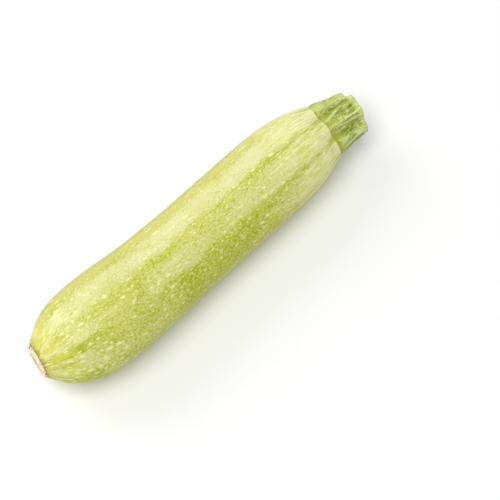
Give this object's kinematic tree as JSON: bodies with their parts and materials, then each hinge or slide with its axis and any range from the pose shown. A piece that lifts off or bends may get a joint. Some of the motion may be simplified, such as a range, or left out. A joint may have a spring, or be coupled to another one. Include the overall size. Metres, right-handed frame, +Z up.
{
  "type": "zucchini",
  "caption": "Whole pale green zucchini lying on its side: a smooth, faintly angular club-shaped fruit with a cut ribbed stem at one end and a corky blossom scar at the other.",
  "frame": {"origin": "on the surface that the zucchini lies on, under the middle of its bounding box", "axes": "+X along the zucchini towards its stem, +Z up, +Y to the left when looking from the blossom end towards the stem"},
  "size_m": [0.2034, 0.0494, 0.0473],
  "materials": {
    "fruit": "pale yellow-green skin with a waxy half gloss, flecked and banded in lighter and darker green",
    "stem": "matt dark green, finely streaked lengthwise, with a paler green cut",
    "blossom_scar": "dull tan cork with a browned ragged rim"
  },
  "bodies": {
    "root": {"fruit": "fruit", "stem": "stem", "blossom_scar": "blossom_scar"}
  },
  "joints": []
}
